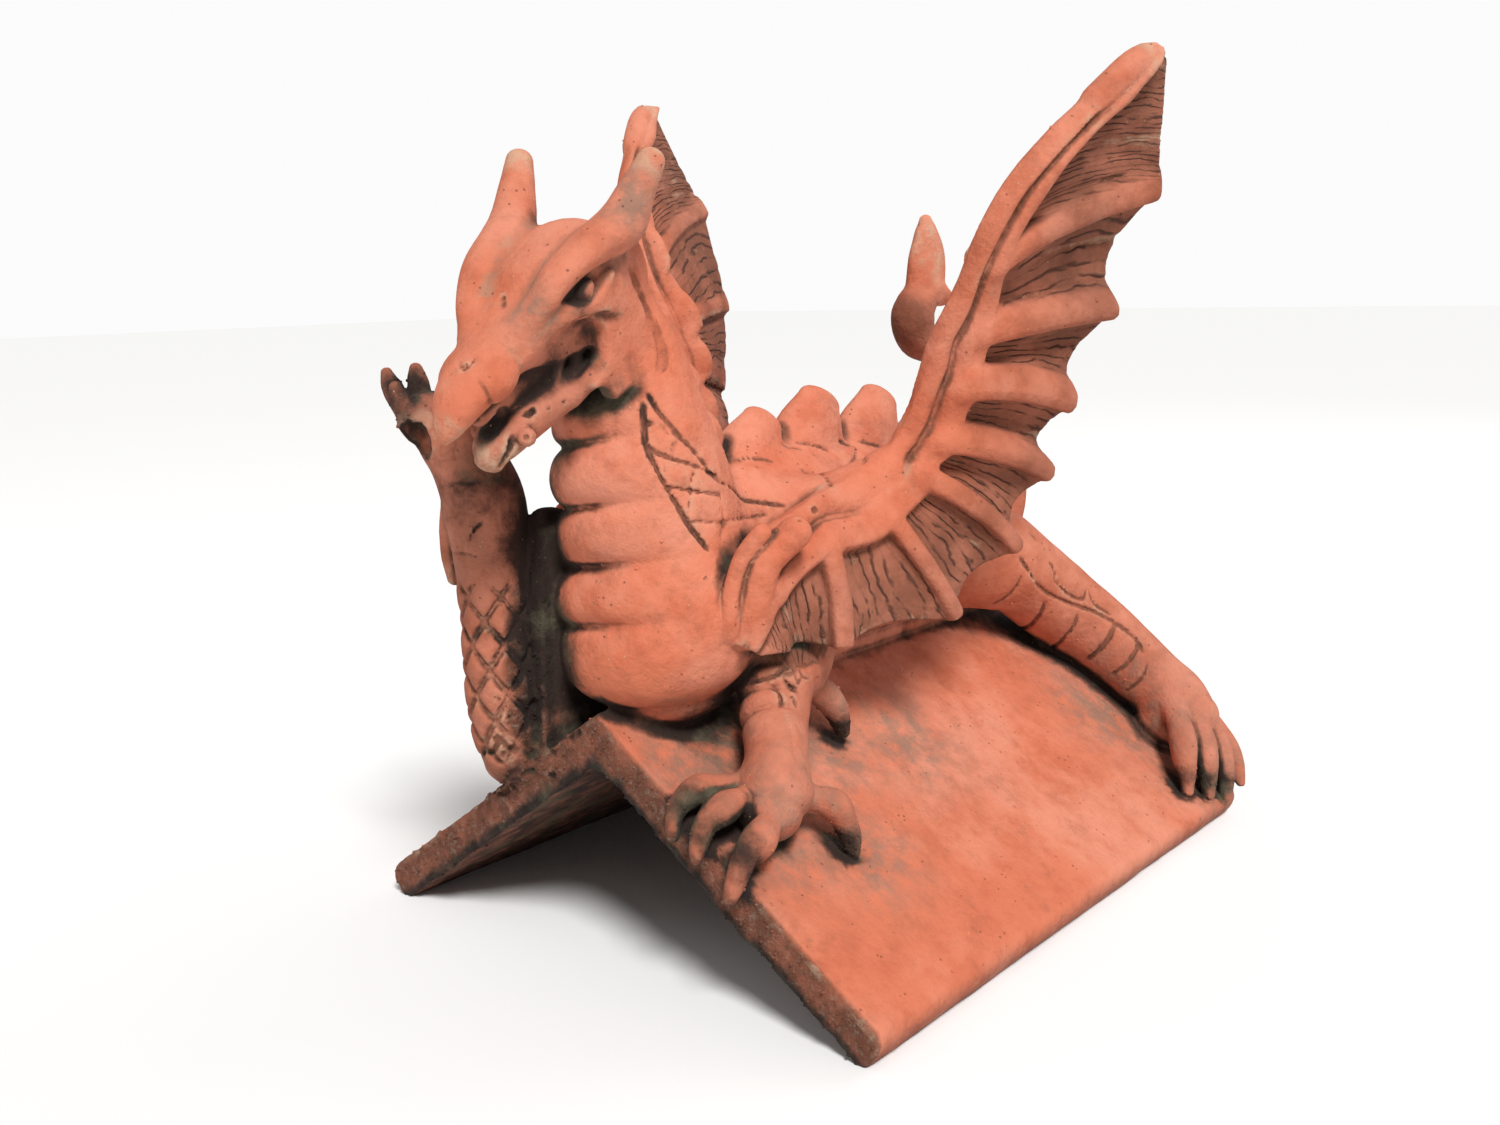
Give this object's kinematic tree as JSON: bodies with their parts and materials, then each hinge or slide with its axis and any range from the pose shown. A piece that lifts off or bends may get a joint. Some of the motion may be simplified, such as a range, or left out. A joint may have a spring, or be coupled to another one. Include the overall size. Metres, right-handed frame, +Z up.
{
  "type": "dragon ridge tile",
  "caption": "Terracotta ridge tile with a winged dragon crouching along the ridge, one forearm raised; closes and ornaments a roof ridge.",
  "frame": {"origin": "middle of the footprint at the level of the two feet of the tile", "axes": "+Z up, -Y along the ridge towards the end that the dragon faces, +X towards the dragon's left"},
  "size_m": [0.404, 0.5602, 0.5066],
  "materials": {
    "terracotta": "weathered unglazed orange terracotta, matt, gritty where broken"
  },
  "bodies": {
    "root": {"dragon_ridge_tile": "terracotta"}
  },
  "joints": []
}
